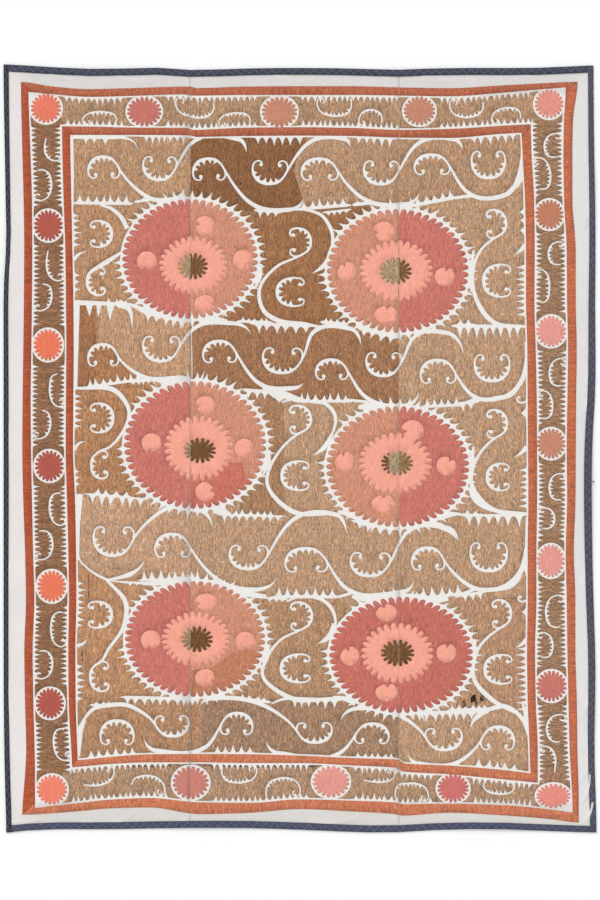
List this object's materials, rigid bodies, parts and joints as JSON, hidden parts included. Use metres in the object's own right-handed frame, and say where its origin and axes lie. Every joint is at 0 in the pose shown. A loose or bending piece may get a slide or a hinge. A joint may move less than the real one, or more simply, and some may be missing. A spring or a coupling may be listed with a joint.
{
  "type": "suzani embroidered textile",
  "caption": "Large flat cotton cloth of joined panels, densely embroidered with scrolls and toothed roundels inside a rosette border, edges bound with a dark folded strip.",
  "frame": {"origin": "centre of the cloth's footprint, on the surface that it lies on", "axes": "+X to the right and +Y to the top of the cloth as it is seen face on, +Z out of its face"},
  "size_m": [1.778, 2.3037, 0.0084],
  "materials": {
    "ground_cotton": "plain-weave unbleached cotton, soft and slightly creased",
    "brown_silk": "laid and couched floss in faded golden browns",
    "rose_silk": "laid and couched floss in faded rose, salmon and orange",
    "rust_wool": "couched rust-red stripes",
    "binding_cotton": "matt navy cotton strip with pale zigzag stitches"
  },
  "bodies": {
    "root": {"panel_left": "ground_cotton", "panel_middle": "ground_cotton", "panel_right": "ground_cotton", "binding_left": "binding_cotton", "binding_right": "binding_cotton", "binding_top": "binding_cotton", "binding_bottom": "binding_cotton"}
  },
  "joints": []
}
